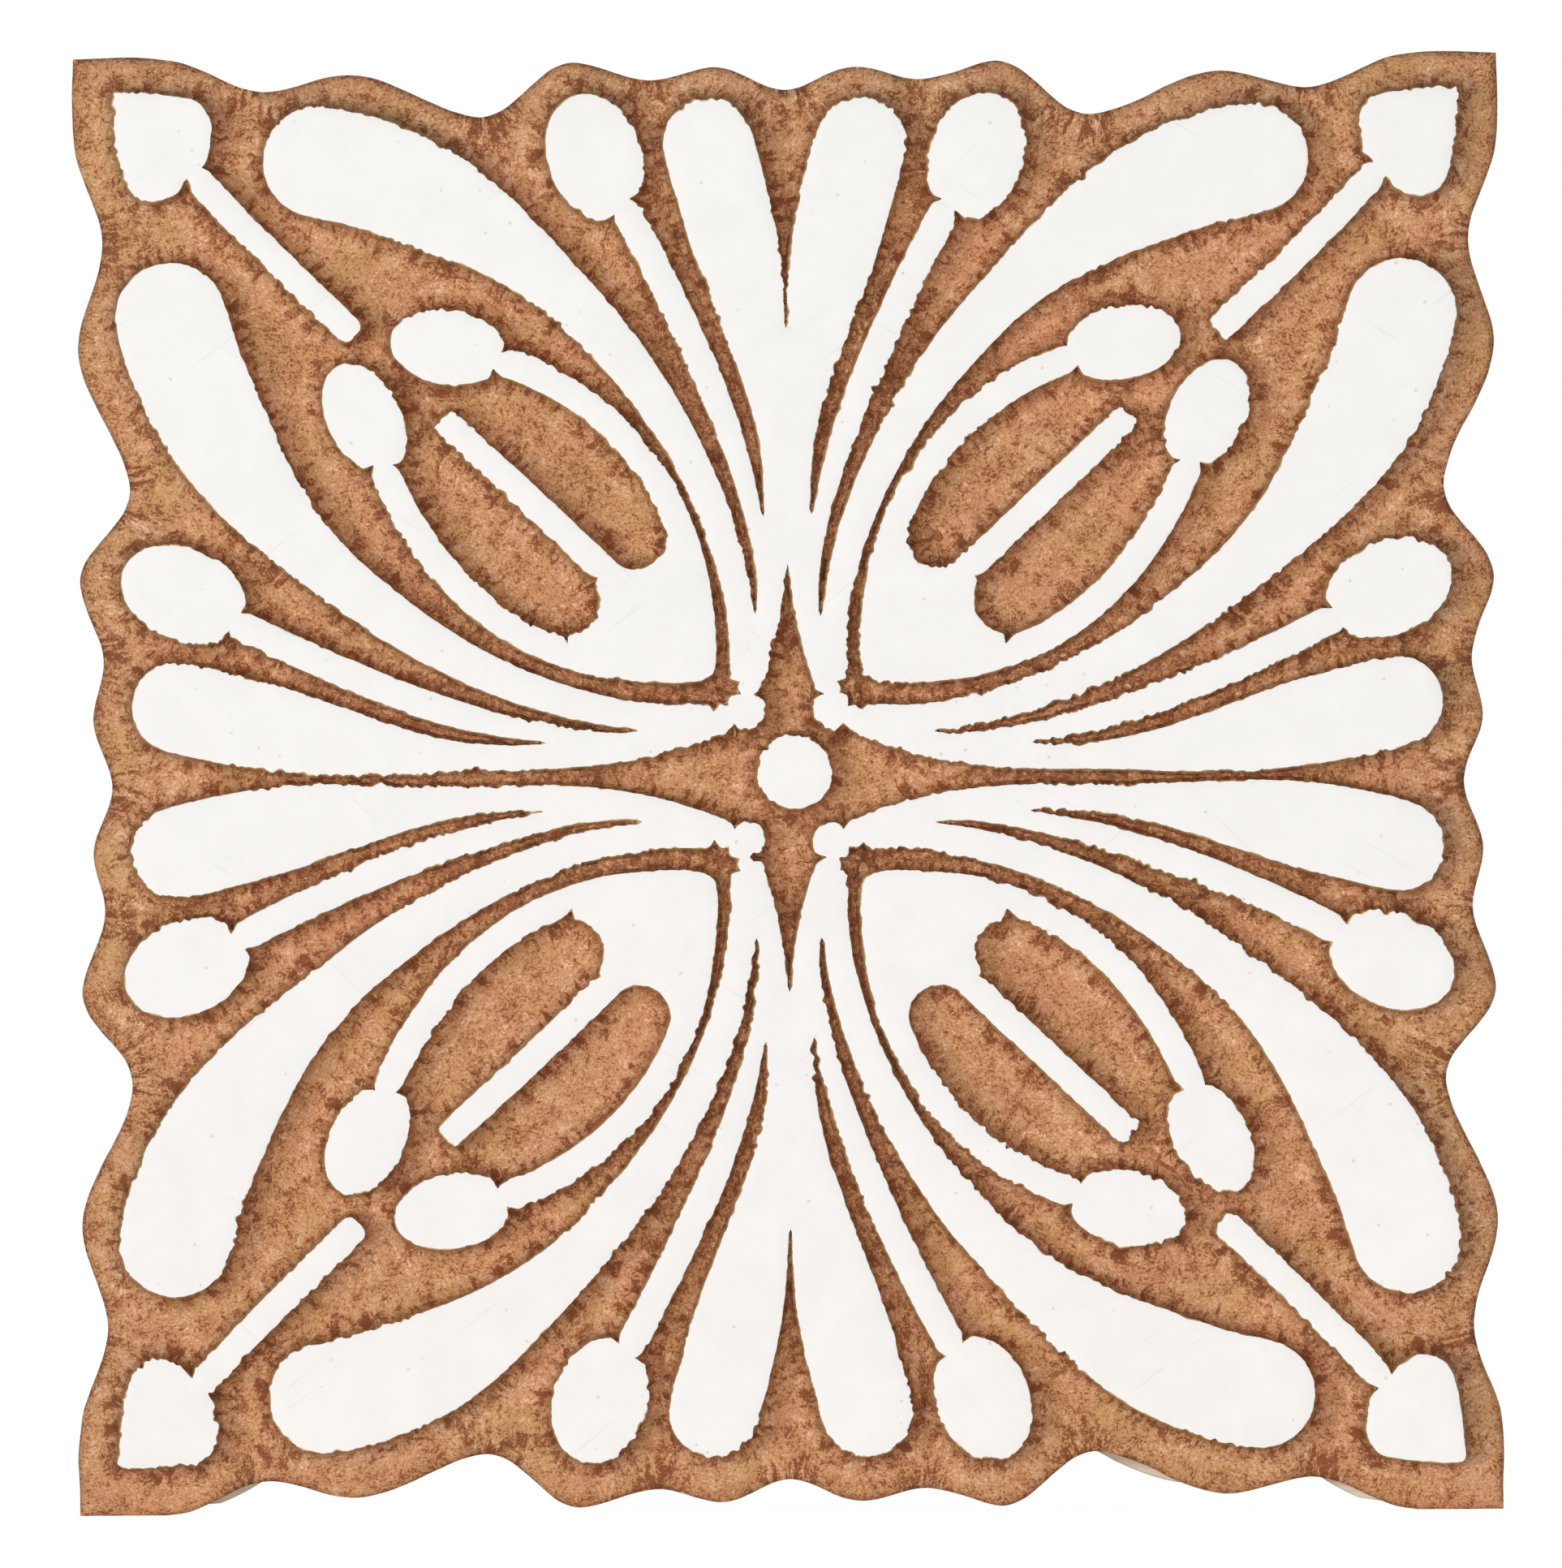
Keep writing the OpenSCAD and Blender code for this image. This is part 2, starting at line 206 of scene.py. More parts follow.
class CarvingSettings(bpy.types.PropertyGroup):
    """How the knife and the gouge left the carved board."""

    edge_step: size("Edge step", "Distance between points along a cut edge, mm", 0.15, 0.1)
    ground_step: size("Ground step", "Distance between points of the cut ground, mm", 0.42, 0.1)
    edge_wander: size("Edge wander", "How far a cut edge strays over a short stretch, mm", 0.12)
    spread: size("Spread", "How far the lands stay outside the drawing, mm", 0.02)
    groove_cut: size("Groove cut", "How far the narrowest cuts were widened on each side, mm", 0.14)
    edge_pitch: size("Edge pitch", "Length of one stray of a cut edge, mm", 0.75, 0.2)
    overcut: size("Overcut", "How far the knife ran past an inner corner, mm", 0.5)
    corner_wear: size("Corner wear", "How far an outer corner of a land is worn back, mm", 0.24)
    drift: size("Drift", "How far the hand strayed from the drawing, mm", 0.16)
    drift_pitch: size("Drift pitch", "Length of one slow stray of the hand, mm", 16.0, 1.0)
    wall_run: size("Wall run", "How far a wall leans out on its way down, mm", 0.34, 0.05)
    wall_drop: size("Wall drop", "Height of the steep part of a wall, mm", 2.9)
    cove_run: size("Cove run", "Distance from a wall at which the ground is flat, mm", 2.2, 0.5)
    scrape_depth: size("Scrape depth", "Depth of the gouge marks beside the walls, mm", 0.1)
    scrape_pitch: size("Scrape pitch", "Distance between gouge marks, mm", 1.0, 0.2)
    ground_wave: size("Ground wave", "Unevenness of the open ground, mm", 0.14)
    rim_round: size("Rim round", "Width of the worn outer edge, mm", 0.9, 0.1)
    rim_fall: size("Rim fall", "How far the worn outer edge falls away, mm", 0.55)
    seed: IntProperty(name="Seed", description="Starts the hand's random strays", default=7)


class CoatSettings(bpy.types.PropertyGroup):
    """The white coat on the lands."""

    inset: size("Inset", "How far the coat stays back from the edge of the wood, mm", 0.04)
    edge_fall: size("Edge fall", "How far the coat thins out at its edge, mm", 0.04)
    edge_run: size("Edge run", "Width of the thin edge of the coat, mm", 0.12, 0.05)
    wave: size("Wave", "Unevenness of the coat, mm", 0.012)
    grid: size("Grid", "Distance between points inside the coat, mm", 1.0, 0.3)


class ColourSettings(bpy.types.PropertyGroup):
    """The woods, the white and the steel."""

    ground_light: colour("Light ground", "Clean fibres of the carved ground", (0.925, 0.795, 0.69))
    ground: colour("Ground", "Middle tone of the carved ground", (0.798, 0.588, 0.416))
    ground_yellow: colour("Yellow ground", "Yellower patches of the carved ground", (0.765, 0.6, 0.388))
    ground_red: colour("Red ground", "Redder patches of the carved ground", (0.785, 0.56, 0.415))
    # The dark ground colour is also the painted shade of narrow cuts and of the walls' foot
    ground_dark: colour("Dark ground", "Burnished gouge marks and deep cuts", (0.53, 0.315, 0.207))
    # The fresh-wood fringe is partly painted light, laid mostly where the walls face the key lamp
    raw_and_lit_edge: colour("Raw edge", "Fresh wood along the cut edges", (0.86, 0.74, 0.52))
    white: colour("White", "The coat on the lands", (0.951, 0.941, 0.928))
    backing: colour("Backing", "Pale wood of the two backing boards", (0.97, 0.915, 0.845))
    backing_dark: colour("Backing grain", "Grain lines of the backing boards", (0.885, 0.79, 0.66))
    grip: colour("Handle", "Oiled wood of the handle", (0.50, 0.30, 0.18))
    grip_dark: colour("Handle grain", "Dark grain of the handle", (0.28, 0.15, 0.09))
    steel: colour("Steel", "Dull steel of the screws", (0.60, 0.59, 0.57))


class StageSettings(bpy.types.PropertyGroup):
    """Camera, lamps and floor."""

    frame_h: amount("Frame height", "Height of the picture at the printing face", 131.9 * MM, "DISTANCE")
    aim_right: amount("Aim right", "How far right of the middle the camera aims", -0.6 * MM, "DISTANCE")
    aim_up: amount("Aim up", "How far above the middle the camera aims", 0.02 * MM, "DISTANCE")
    roll: amount("Roll", "How far the camera leans to the right", math.radians(0.29), "ANGLE")
    distance: amount("Distance", "From the camera to the printing face", 2.0, "DISTANCE")
    key_power: amount("Key lamp", "Power of the soft lamp at the left", 5.2, "POWER")
    fill_power: amount("Fill lamp", "Power of the wide lamp behind the camera", 31.0, "POWER")
    back_power: amount("Back lamp", "Power of the soft lamp behind the block", 12.0, "POWER")
    sky: amount("Sky", "Strength of the even light from all round", 0.12)


class BlockSettings(bpy.types.PropertyGroup):
    """Everything that can be set on the block."""

    carving: PointerProperty(type=CarvingSettings)
    coat: PointerProperty(type=CoatSettings)
    colours: PointerProperty(type=ColourSettings)
    stage: PointerProperty(type=StageSettings)


# Random strays

def eased(u):
    """A share from 0 to 1 that starts and ends slowly."""
    return u * u * (3 - 2 * u)


def stray_along(count, length, pitch, rng):
    """Smooth random values from -1 to 1 at even steps along a closed line."""
    knots = max(4, round(length / pitch))
    values = rng.uniform(-1, 1, knots)
    at = np.arange(count) * knots / count
    low = np.floor(at).astype(int)
    share = eased(at - low)
    return values[low % knots] * (1 - share) + values[(low + 1) % knots] * share


def stray_over(points, pitch, rng):
    """Smooth random values from -1 to 1 over a plane."""
    cells = points / pitch - np.floor(points.min(0) / pitch)
    low = np.floor(cells).astype(int)
    values = rng.uniform(-1, 1, low.max(0) + 2)
    right, up = eased(cells - low).T
    i, k = low.T
    lower = values[i, k] * (1 - right) + values[i + 1, k] * right
    upper = values[i, k + 1] * (1 - right) + values[i + 1, k + 1] * right
    return lower * (1 - up) + upper * up


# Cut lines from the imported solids

def node_triangles(node):
    """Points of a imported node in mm, with equal ones merged, and its triangles."""
    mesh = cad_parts[node].data
    mesh.calc_loop_triangles()
    points = np.empty(len(mesh.vertices) * 3, np.float32)
    mesh.vertices.foreach_get("co", points)
    triangles = np.empty(len(mesh.loop_triangles) * 3, np.int32)
    mesh.loop_triangles.foreach_get("vertices", triangles)
    cells = np.round(points.reshape(-1, 3).astype(float) / MM / MERGE).astype(np.int64)
    merged, place = np.unique(cells, axis=0, return_inverse=True)
    return merged * MERGE, place.reshape(-1)[triangles].reshape(-1, 3)


def flat_outlines(node, depth):
    """Closed outlines, as x and z in mm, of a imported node's faces at one depth along Y.
    Seen from the front, an outline runs anticlockwise round its face."""
    points, triangles = node_triangles(node)
    flat = np.abs(points[triangles][:, :, 1] - depth).max(1) < 5 * MERGE
    edges = {(a, b) for t in triangles[flat].tolist() for a, b in zip(t, t[1:] + t[:1])}
    following = {a: b for a, b in edges if (b, a) not in edges}
    outlines = []
    while following:
        line = [min(following)]
        while line[-1] in following:
            line.append(following.pop(line[-1]))
        outlines.append(points[line[:-1]][:, [0, 2]])
    return outlines


def swept_length(line):
    """Length of a closed line."""
    return np.hypot(*(np.roll(line, -1, 0) - line).T).sum()


def travelled(line):
    """Distance along a closed line from its first point to each of its points."""
    return np.concatenate([[0], np.cumsum(np.hypot(*np.diff(line, axis=0).T))])


def ground_depth():
    """Depth along Y, in mm, of the cut ground of the carved board: its second level."""
    levels = np.unique(np.round(node_triangles("face_board")[0][:, 1], 2))
    return levels[1]


def turning(line):
    """Turn at each point of a closed line, above 0 to the left."""
    ahead = np.roll(line, -1, 0) - line
    heading = np.arctan2(ahead[:, 1], ahead[:, 0])
    return (heading - np.roll(heading, 1) + math.pi) % (2 * math.pi) - math.pi


def traced(line, step):
    """A closed outline with points at even steps, smooth between its sharp corners."""
    corners = np.flatnonzero(np.abs(turning(line)) > CORNER_TURN)
    if not len(corners):
        corners = np.array([0])
    line = np.roll(line, -corners[0], 0)
    corners = np.append(corners - corners[0], len(line))
    closed = np.vstack([line, line[:1]])
    runs = [smooth_run(closed[a:b + 1], step) for a, b in zip(corners, corners[1:])]
    return np.vstack(runs)


def smooth_run(points, step):
    """Points at even steps along a smooth curve through all the given points, without the last."""
    chord = np.hypot(*np.diff(points, axis=0).T)
    at = np.concatenate([[0], np.cumsum(chord)])
    slopes = np.diff(points, axis=0) / chord[:, None]
    tangent = np.vstack([slopes[:1], slopes[-1:]])
    if len(points) > 2:
        before, after = chord[:-1, None], chord[1:, None]
        inner = (after * slopes[:-1] + before * slopes[1:]) / (before + after)
        tangent = np.vstack([slopes[:1], inner, slopes[-1:]])
    wanted = np.linspace(0, at[-1], max(1, round(at[-1] / step)) + 1)[:-1]
    i = np.clip(np.searchsorted(at, wanted, side="right") - 1, 0, len(chord) - 1)
    u = ((wanted - at[i]) / chord[i])[:, None]
    width = chord[i][:, None]
    return ((1 + 2 * u) * (1 - u) ** 2 * points[i] + u * (1 - u) ** 2 * width * tangent[i]
            + u * u * (3 - 2 * u) * points[i + 1] - u * u * (1 - u) * width * tangent[i + 1])


def outward(line):
    """Unit normals of an anticlockwise outline, away from its face."""
    ahead = np.roll(line, -1, 0) - np.roll(line, 1, 0)
    normal = np.stack([ahead[:, 1], -ahead[:, 0]], -1)
    return normal / np.maximum(np.hypot(*normal.T), 1e-9)[:, None]


def hand_drift(line, cut):
    """Moves a drawn line as the hand that cut it strayed."""
    rng = np.random.default_rng(cut.seed)
    over = np.vstack([line, DRIFT_BOX])
    moves = [stray_over(over, cut.drift_pitch, rng)[:-2] for _ in "xz"]
    return line + cut.drift * np.stack(moves, -1)


def ragged(line, cut, rng):
    """A cut edge with the small strays and nicks of the knife, which ran past inner corners,
    and with its outer corners worn."""
    count, length = len(line), swept_length(line)
    care = np.clip(0.7 + stray_along(count, length, CARE_PITCH, rng), 0.3, 1.4)
    stray = sum(share * stray_along(count, length, cut.edge_pitch * pitch, rng)
                for pitch, share in KNIFE_STRAYS)
    nicks = np.clip(stray_along(count, length, NICK_PITCH, rng) - NICK_RARITY, 0, 1)
    away, turn = outward(line), turning(line)
    corner = np.where(turn < -CORNER_TURN, cut.overcut * rng.uniform(0.4, 1.2, count), 0)
    corner = np.where(turn > WORN_TURN, cut.corner_wear * rng.uniform(0.6, 1.4, count), corner)
    inward = sum(share * np.roll(corner[:, None] * away, i, 0) for i, share in CORNER_SHAPE.items())
    return line + (cut.spread + cut.edge_wander * care * stray - nicks * care)[:, None] * away - inward


def land_edges(cut):
    """The cut edges of the lands under each white piece, by the node that it stands for."""
    drawn = {node: [hand_drift(traced(line, cut.edge_step), cut) for line in flat_outlines(node, COAT_Y)]
             for node in COATS.values()}
    nearest = Nearest([line for lines in drawn.values() for line in lines])
    edges = {}
    for node, lines in drawn.items():
        rng = np.random.default_rng(cut.seed + sorted(COATS.values()).index(node) + 1)
        edges[node] = []
        for line in lines:
            tight = np.clip(1 - groove_room([line], nearest) / FULL_ROOM, 0, 1)
            widened = line - (cut.groove_cut * tight)[:, None] * outward(line)
            edges[node].append(ragged(widened, cut, rng))
    return edges


def chipped(line, coat, rng):
    """The edge of the coat on a land: it stays back from the edge of the wood, more at chips."""
    length = swept_length(line)
    chips = (stray_along(len(line), length, 0.7, rng) + 0.6 * stray_along(len(line), length, 5.0, rng))
    return line - (coat.inset * (0.4 + 2.2 * np.clip(chips, 0, 1) ** 2))[:, None] * outward(line)


def outer_edge(cut):
    """The scalloped outer edge of the carved board."""
    rng = np.random.default_rng(cut.seed + EDGE_SEED)
    drawn = max(flat_outlines("face_board", ground_depth()), key=swept_area)
    line = traced(drawn, cut.edge_step * RIM_SPACING)
    soft = RIM_WANDER * cut.edge_wander * stray_along(len(line), swept_length(line), RIM_PITCH, rng)
    return line + soft[:, None] * outward(line)


def swept_area(line):
    """Area that a closed line goes round, above 0 if it runs anticlockwise."""
    after = np.roll(line, -1, 0)
    return (line[:, 0] * after[:, 1] - after[:, 0] * line[:, 1]).sum() / 2


# Triangulated reliefs

class Nearest:
    """Finds the nearest point of some lines."""

    def __init__(self, lines):
        self.points = np.vstack(lines)
        self.along = np.concatenate([LINE_GAP * i + travelled(line) for i, line in enumerate(lines)])
        self.normals = np.vstack([outward(line) for line in lines])
        self.tree = kdtree.KDTree(len(self.points))
        for i, (x, z) in enumerate(self.points):
            self.tree.insert((x, z, 0), i)
        self.tree.balance()

    def of(self, points):
        """Index of the nearest line point and the distance to it, for each given point."""
        found = [self.tree.find((x, z, 0)) for x, z in points]
        return np.array([f[1] for f in found]), np.array([f[2] for f in found])

    def outside(self, points):
        """Distance of each given point from the lines, below 0 on the side of the faces."""
        near, distance = self.of(points)
        side = ((points - self.points[near]) * self.normals[near]).sum(1)
        return np.where(side > 0, distance, -distance)


def jittered_grid(low, high, step, rng):
    """Points about a step apart that fill a box in no visible rows."""
    x = np.arange(low[0], high[0], step)
    z = np.arange(low[1], high[1], step * 0.87)
    grid = np.stack(np.meshgrid(x, z), -1)
    grid[1::2, :, 0] += step / 2
    points = grid.reshape(-1, 2)
    return points + rng.uniform(-0.28, 0.28, points.shape) * step


def inner_ring(lines, distance, nearest):
    """Points at one distance inside some lines, where no other line is nearer."""
    points = np.vstack([line - distance * outward(line) for line in lines])
    return points[-nearest.outside(points) > CLEAR_SHARE * distance]


def wall_feet(lines, run, nearest):
    """Points at the foot of the walls, nearer to them where a cut is too narrow for the full run."""
    base = np.vstack([line[::2] for line in lines])
    away = np.vstack([outward(line[::2]) for line in lines])
    feet = []
    for share in (1.0, 0.6, 0.3):
        points = base + share * run * away
        clear = nearest.outside(points) > CLEAR_SHARE * share * run
        feet.append(points[clear])
        base, away = base[~clear], away[~clear]
    return np.vstack(feet)


def groove_room(lines, nearest):
    """Free distance in mm in front of each point of some lines, up to the last of ROOM_STEPS."""
    room = []
    for line in lines:
        free = np.full(len(line), ROOM_STEPS[0] / 2)
        open_yet = np.ones(len(line), bool)
        for reach in ROOM_STEPS:
            open_yet &= nearest.outside(line + reach * outward(line)) > 0.8 * reach
            free[open_yet] = reach
        shares = [np.roll(free, shift) for shift in range(-6, 7)]
        room.append(np.mean(shares, 0))
    return np.concatenate(room)


def triangulated(lines, inner):
    """Triangulates lines and loose points. Gives the points, the triangles and, for each
    triangle, a number that is shared by all that no line divides."""
    sites = np.vstack([*lines, inner])
    starts = np.cumsum([0] + [len(line) for line in lines])
    fences = [(a + i, a + (i + 1) % (b - a)) for a, b in zip(starts, starts[1:]) for i in range(b - a)]
    points, edges, faces, _, fenced, _ = geometry.delaunay_2d_cdt(
        [Vector(p) for p in sites], fences, [], 0, 1e-5)
    walls = {tuple(sorted(e)) for e, source in zip(edges, fenced) if source}
    sides = {}
    for number, face in enumerate(faces):
        for a, b in zip(face, face[1:] + face[:1]):
            sides.setdefault((min(a, b), max(a, b)), []).append(number)
    joined = [[] for _ in faces]
    for edge, pair in sides.items():
        if len(pair) == 2 and edge not in walls:
            joined[pair[0]].append(pair[1])
            joined[pair[1]].append(pair[0])
    region = [-1] * len(faces)
    count = 0
    for start in range(len(faces)):
        if region[start] >= 0:
            continue
        region[start] = count
        todo = [start]
        while todo:
            for other in joined[todo.pop()]:
                if region[other] < 0:
                    region[other] = count
                    todo.append(other)
        count += 1
    return np.array([tuple(p) for p in points]), np.array(faces), np.array(region)


def within(points, lines):
    """Marks the points on the faces that some anticlockwise lines go round."""
    x, z = points.T[:, :, None]
    rounds = np.zeros(len(points), int)
    for line in lines:
        after = np.roll(line, -1, 0)
        left = (after[:, 0] - line[:, 0]) * (z - line[:, 1]) > (after[:, 1] - line[:, 1]) * (x - line[:, 0])
        low, high = line[:, 1] <= z, after[:, 1] <= z
        rounds += (low & ~high & left).sum(1) - (high & ~low & ~left).sum(1)
    return rounds > 0


def regions_within(points, faces, region, lines):
    """Marks the triangles of the regions that lie on the faces which some lines go round."""
    corners = points[faces]
    a, b = corners[:, 1] - corners[:, 0], corners[:, 2] - corners[:, 0]
    area = np.abs(a[:, 0] * b[:, 1] - a[:, 1] * b[:, 0])
    order = np.lexsort((-area, region))
    numbers, first = np.unique(region[order], return_index=True)
    middles = corners[order[first]].mean(1)
    return np.isin(region, numbers[within(middles, lines)])


def new_piece(name, points, faces):
    """A mesh object from points in mm and faces, with nothing else selected."""
    mesh = bpy.data.meshes.new(name)
    mesh.from_pydata((points * MM).tolist(), [], faces.tolist())
    piece = bpy.data.objects.new(name, mesh)
    bpy.context.scene.collection.objects.link(piece)
    pick(piece)
    return piece


def mark(piece, name, values):
    """Keeps one number for each point of a piece, for its material to read."""
    layer = piece.data.attributes.new(name, "FLOAT", "POINT")
    layer.data.foreach_set("value", np.asarray(values, np.float32))


def pick(piece):
    """Selects one object alone and makes it the active one."""
    bpy.ops.object.select_all(action="DESELECT")
    piece.select_set(True)
    bpy.context.view_layer.objects.active = piece


def modify(piece, kind, **settings):
    """Adds a modifier to a piece and applies it."""
    pick(piece)
    modifier = piece.modifiers.new(kind.title(), kind)
    for name, value in settings.items():
        setattr(modifier, name, value)
    bpy.ops.object.modifier_apply(modifier=modifier.name)


def finish_piece(piece, nodes, material, smooth_angle):
    """Gives a piece its finish and its place on the block, and hides the nodes that it stands for."""
    piece.data.materials.clear()
    piece.data.materials.append(material)
    pick(piece)
    bpy.ops.object.shade_smooth_by_angle(angle=math.radians(smooth_angle))
    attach(piece, "root")
    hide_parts(*nodes)


# Carved board

def carved_height(wall, rim, cut):
    """Depth below the lands, in mm, at a distance from the walls and from the outer edge."""
    steep = np.clip(wall / cut.wall_run, 0, 1)
    cove = np.clip((wall - cut.wall_run) / (cut.cove_run - cut.wall_run), 0, 1)
    worn = np.clip(1 - rim / cut.rim_round, 0, 1)
    full = ground_depth() - LAND_Y
    drop = min(cut.wall_drop, full)
    return drop * (1 - (1 - steep) ** 1.5) + (full - drop) * (1 - (1 - cove) ** 2) + cut.rim_fall * worn ** 2


def torn_notches(line):
    """Strength, from 0 to 1, of the torn fibres at each point of the outer edge: high in notches."""
    span = round(len(line) * NOTCH_SPAN / swept_length(line))
    ahead = np.roll(line, -span, 0) - line
    back = line - np.roll(line, span, 0)
    bend = back[:, 0] * ahead[:, 1] - back[:, 1] * ahead[:, 0]
    return np.clip(-bend / NOTCH_BEND - 0.2, 0, 1)


def flat_grooves(piece):
    """Cuts the grooves for the tongues of the board behind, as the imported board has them."""
    points, _ = node_triangles("face_board")
    floor = np.unique(np.round(points[:, 1], 2))[2]
    rows = np.unique(np.round(points[np.abs(points[:, 1] - floor) < 0.01][:, 2], 2))
    spans = rows.reshape(2, -1)[:, [0, -1]]
    side_spare, back_spare = 20, 2
    width = CAD_BOX[1][0] / MM * 2 + side_spare
    back = CORE_Y + back_spare
    for low, high in spans:
        bpy.ops.object.select_all(action="DESELECT")
        bpy.ops.mesh.primitive_cube_add(size=1)
        cutter = bpy.context.active_object
        cutter.scale = (width * MM, (back - floor) * MM, (high - low) * MM)
        cutter.location = (0, (floor + back) / 2 * MM, (low + high) / 2 * MM)
        bpy.context.view_layer.update()
        modify(piece, "BOOLEAN", object=cutter, operation="DIFFERENCE", solver="EXACT")
        bpy.data.objects.remove(cutter)


def close_back(piece):
    """Draws the sides of the board back from its outer edge, a little uneven, and closes the back."""
    row_depth = (CORE_Y - ground_depth()) * MM / SIDE_ROWS
    pick(piece)
    bpy.ops.object.mode_set(mode="EDIT")
    bpy.ops.mesh.select_all(action="DESELECT")
    bpy.ops.mesh.select_mode(type="EDGE")
    bpy.ops.mesh.select_non_manifold()
    for row in range(1, SIDE_ROWS + 1):
        bpy.ops.mesh.extrude_edges_move(TRANSFORM_OT_translate={"value": (0, row_depth, 0)})
        if row < SIDE_ROWS:
            bpy.ops.transform.vertex_random(offset=SIDE_WANDER * MM, seed=row)
    bpy.ops.transform.resize(value=(1, 0, 1), center_override=(0, CORE_Y * MM, 0))
    bpy.ops.mesh.edge_face_add()
    bpy.ops.mesh.select_all(action="SELECT")
    bpy.ops.mesh.normals_make_consistent(inside=False)
    bpy.ops.object.mode_set(mode="OBJECT")


class BLOCK_OT_carve_face(bpy.types.Operator):
    """Carves the lands and the ground of the front board"""

    bl_idname = "printing_block.carve_face"
    bl_label = "Carve the Face"

    def execute(self, context):
        settings = context.scene.printing_block
        cut = settings.carving
        rng = np.random.default_rng(cut.seed + GROUND_SEED)
        lands = [line for lines in land_edges(cut).values() for line in lines]
        edge = outer_edge(cut)
        walls, rim = Nearest(lands), Nearest([edge])
        step = cut.ground_step * 1
        loose = jittered_grid(edge.min(0), edge.max(0), step, rng)
        clear = cut.wall_run + 0.45 * step
        loose = loose[(walls.outside(loose) > clear) & (rim.outside(loose) < -0.5 * step)]
        feet = wall_feet(lands, cut.wall_run, walls)
        points, faces, region = triangulated([edge, *lands], np.vstack([feet, loose]))
        board = regions_within(points, faces, region, [edge])
        ground = board & ~regions_within(points, faces, region, lands)

        near, wall = walls.of(points)
        near_rim, off_rim = rim.of(points)
        along, facing = walls.along[near], walls.normals[near] @ SHADE_SIDE
        torn = torn_notches(edge)[near_rim] * np.clip(1 - off_rim / TORN_REACH, 0, 1)
        settled = np.clip((wall - WAVE_FROM) / WAVE_RISE, 0, 1)
        wave = sum(share * stray_over(points, length, rng) for length, share in GROUND_WAVES)
        ripple = np.sin(2 * math.pi * along / cut.scrape_pitch + 3 * stray_over(points, 4.0, rng))
        narrow = np.clip(groove_room(lands, walls)[near] / FULL_ROOM, LEAST_DEPTH, 1)
        depth = carved_height(wall, off_rim, cut) * narrow
        depth = depth + (cut.ground_wave * wave * settled + TORN_WAVE * torn * wave
                         + cut.scrape_depth * ripple * np.exp(-wall)) * np.clip(wall / cut.wall_run, 0, 1)
        on_land = ~np.isin(np.arange(len(points)), faces[ground])
        depth[on_land] = 0
        depth[wall < ON_LINE] = 0
        shape = np.stack([points[:, 0], LAND_Y + depth, points[:, 1]], -1)
        piece = new_piece("carved_board", shape, faces[board])
        # The facing and narrow marks let the ground's colour paint light and shade by the key lamp's side
        # and in narrow cuts
        for name, values in (("wall_mm", wall), ("along_mm", along), ("facing", facing),
                             ("rim_mm", off_rim), ("rim_along_mm", rim.along[near_rim]), ("torn", torn),
                             ("narrow", 1 - narrow)):
            mark(piece, name, values)
        close_back(piece)
        flat_grooves(piece)
        finish_piece(piece, ["face_board"], carved_wood(settings.colours), 50)
        return {"FINISHED"}


class BLOCK_OT_coat_lands(bpy.types.Operator):
    """Lays the white coat on the lands, one piece for each part of the pattern"""

    bl_idname = "printing_block.coat_lands"
    bl_label = "Coat the Lands"

    def execute(self, context):
        settings = context.scene.printing_block
        cut, coat = settings.carving, settings.coat
        material = white_coat(settings.colours)
        lands = land_edges(cut)
        for name, node in COATS.items():
            rng = np.random.default_rng(cut.seed + COAT_SEED + len(name))
            edges = [chipped(line, coat, rng) for line in lands[node]]
            border = Nearest(edges)
            loose = jittered_grid(border.points.min(0), border.points.max(0), coat.grid, rng)
            loose = loose[border.outside(loose) < -coat.edge_run - 0.4 * coat.grid]
            ring = inner_ring(edges, coat.edge_run, border)
            points, faces, region = triangulated(edges, np.vstack([ring, loose]))
            kept = regions_within(points, faces, region, edges)
            _, inside = border.of(points)
            thin = coat.edge_fall * np.clip(1 - inside / coat.edge_run, 0, 1)
            wave = coat.wave * (0.5 + 0.5 * stray_over(points, 4.0, rng))
            shape = np.stack([points[:, 0], COAT_Y + thin + wave, points[:, 1]], -1)
            piece = new_piece(name, shape, faces[kept])
            mark(piece, "edge_mm", inside)
            bpy.ops.object.mode_set(mode="EDIT")
            bpy.ops.mesh.select_all(action="SELECT")
            bpy.ops.mesh.delete_loose()
            bpy.ops.object.mode_set(mode="OBJECT")
            modify(piece, "SOLIDIFY", thickness=(LAND_Y - COAT_Y) * MM, offset=-1)
            finish_piece(piece, [node], material, 50)
        return {"FINISHED"}


# Boards, handle and screws behind the face

def copy_of(node, name):
    """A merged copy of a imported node, whose flat faces are whole again."""
    piece = bpy.data.objects.new(name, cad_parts[node].data.copy())
    bpy.context.scene.collection.objects.link(piece)
    pick(piece)
    bpy.ops.object.mode_set(mode="EDIT")
    bpy.ops.mesh.select_all(action="SELECT")
    bpy.ops.mesh.remove_doubles(threshold=MERGE * MM)
    bpy.ops.mesh.dissolve_limited(angle_limit=math.radians(0.2))
    bpy.ops.mesh.normals_make_consistent(inside=False)
    bpy.ops.object.mode_set(mode="OBJECT")
    return piece


